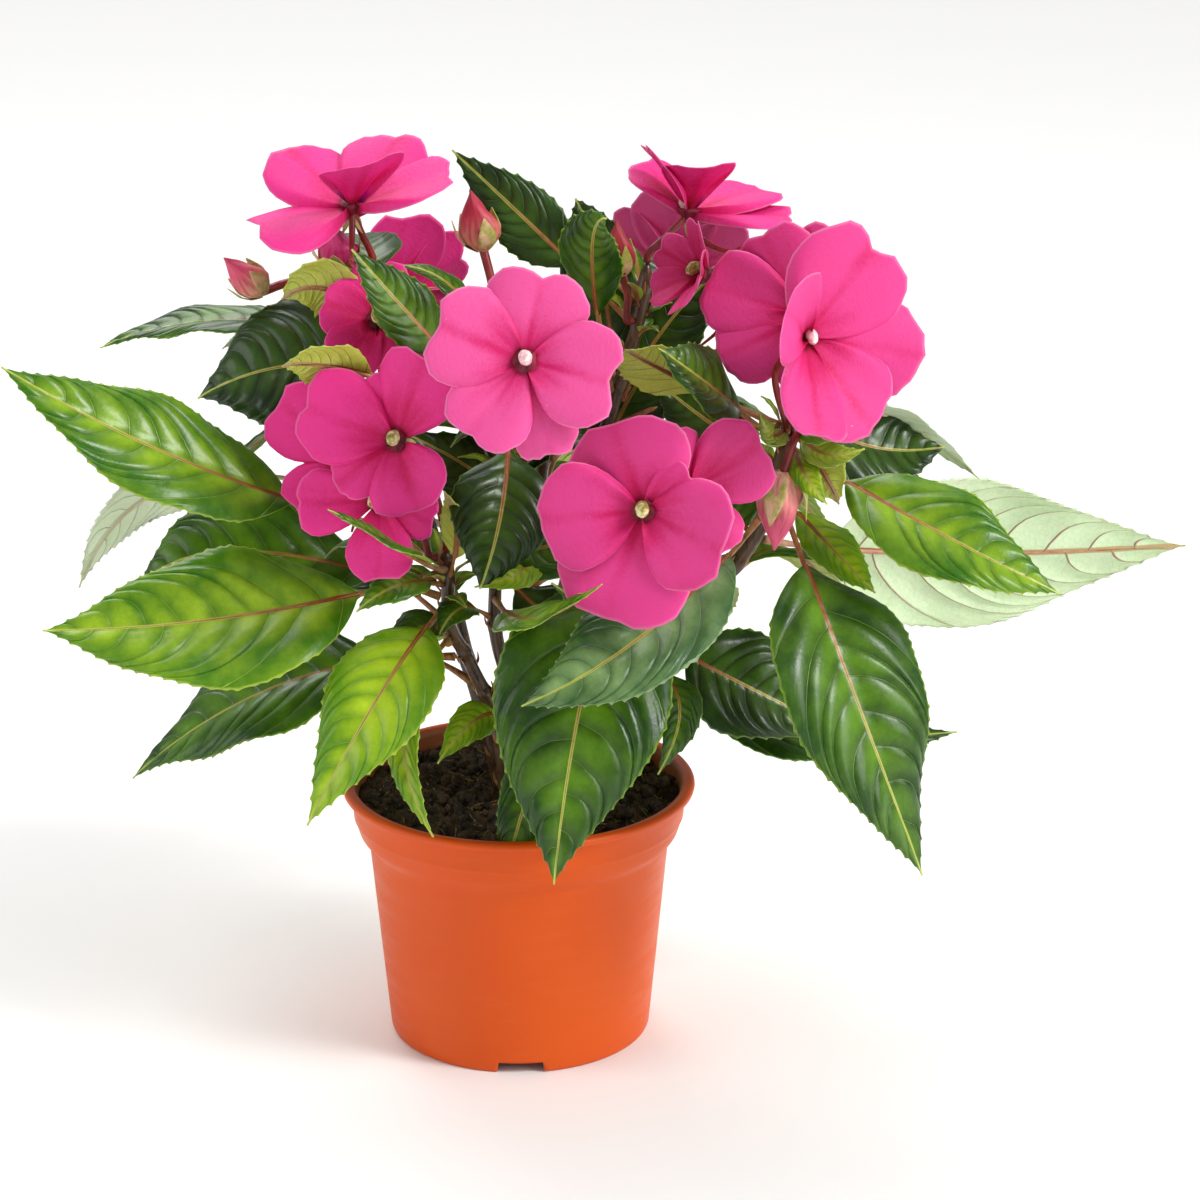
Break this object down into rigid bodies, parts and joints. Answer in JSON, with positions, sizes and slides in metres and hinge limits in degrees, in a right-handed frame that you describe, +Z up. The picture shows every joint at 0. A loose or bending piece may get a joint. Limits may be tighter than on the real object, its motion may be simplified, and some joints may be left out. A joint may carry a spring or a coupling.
{
  "type": "potted new guinea impatiens",
  "caption": "Flowering pot plant: an impatiens with pink blooms and glossy leaves in a round terracotta-coloured plastic nursery pot that stands on a table or sill.",
  "frame": {"origin": "middle of the pot's underside, on the plane that the pot stands on", "axes": "+Z up; -Y is the front as pictured and +X is the picture's right, where the plant spreads widest"},
  "size_m": [0.4253, 0.2759, 0.327],
  "materials": {
    "pot": "satin moulded, slightly scuffed",
    "soil": "moist crumbly peat",
    "stem": "glossy succulent",
    "leaf": "glossy, pale underneath",
    "petal": "soft velvety",
    "bud": "satin"
  },
  "bodies": {
    "root": {"pot": "pot", "soil": "soil", "stem_left": "stem", "stem_middle": "stem", "stem_front": "stem", "stem_right": "stem", "stem_top": "stem", "stem_upper_left": "stem", "stem_back": "stem", "leaf_left_long": "leaf", "leaf_left_broad": "leaf", "leaf_left_low": "leaf", "leaf_front_left": "leaf", "leaf_front_narrow": "leaf", "leaf_hanging_middle": "leaf", "leaf_small_left": "leaf", "leaf_small_middle": "leaf", "leaf_front_broad": "leaf", "leaf_front_crossing": "leaf", "leaf_right_narrow": "leaf", "leaf_low_middle": "leaf", "leaf_right_low": "leaf", "leaf_right_lowest": "leaf", "leaf_right_drooping": "leaf", "leaf_right_glossy": "leaf", "leaf_right_pale": "leaf", "leaf_right_dark": "leaf", "leaf_top_left": "leaf", "leaf_top_middle": "leaf", "leaf_upper_left_small": "leaf", "leaf_upper_left_dark": "leaf", "leaf_upper_left_edge": "leaf", "leaf_yellow_underside": "leaf", "leaf_left_shaded": "leaf", "leaf_left_pale": "leaf", "leaf_inner_underside": "leaf", "leaf_inner_top": "leaf", "leaf_back_right": "leaf", "leaf_back_middle": "leaf", "leaf_back_left": "leaf", "leaf_back_high": "leaf", "flower_right": "petal", "flower_right_behind": "petal", "flower_right_side": "petal", "flower_middle": "petal", "flower_front": "petal", "flower_front_behind": "petal", "flower_left": "petal", "flower_left_behind": "petal", "flower_left_low": "petal", "flower_top_left": "petal", "flower_shaded": "petal", "flower_top_right": "petal", "flower_back_left": "petal", "flower_back_right": "petal", "bud_top_left": "bud", "bud_far_left": "bud", "bud_round": "bud", "bud_pendulous": "bud", "bud_top_middle": "bud"}
  },
  "joints": []
}
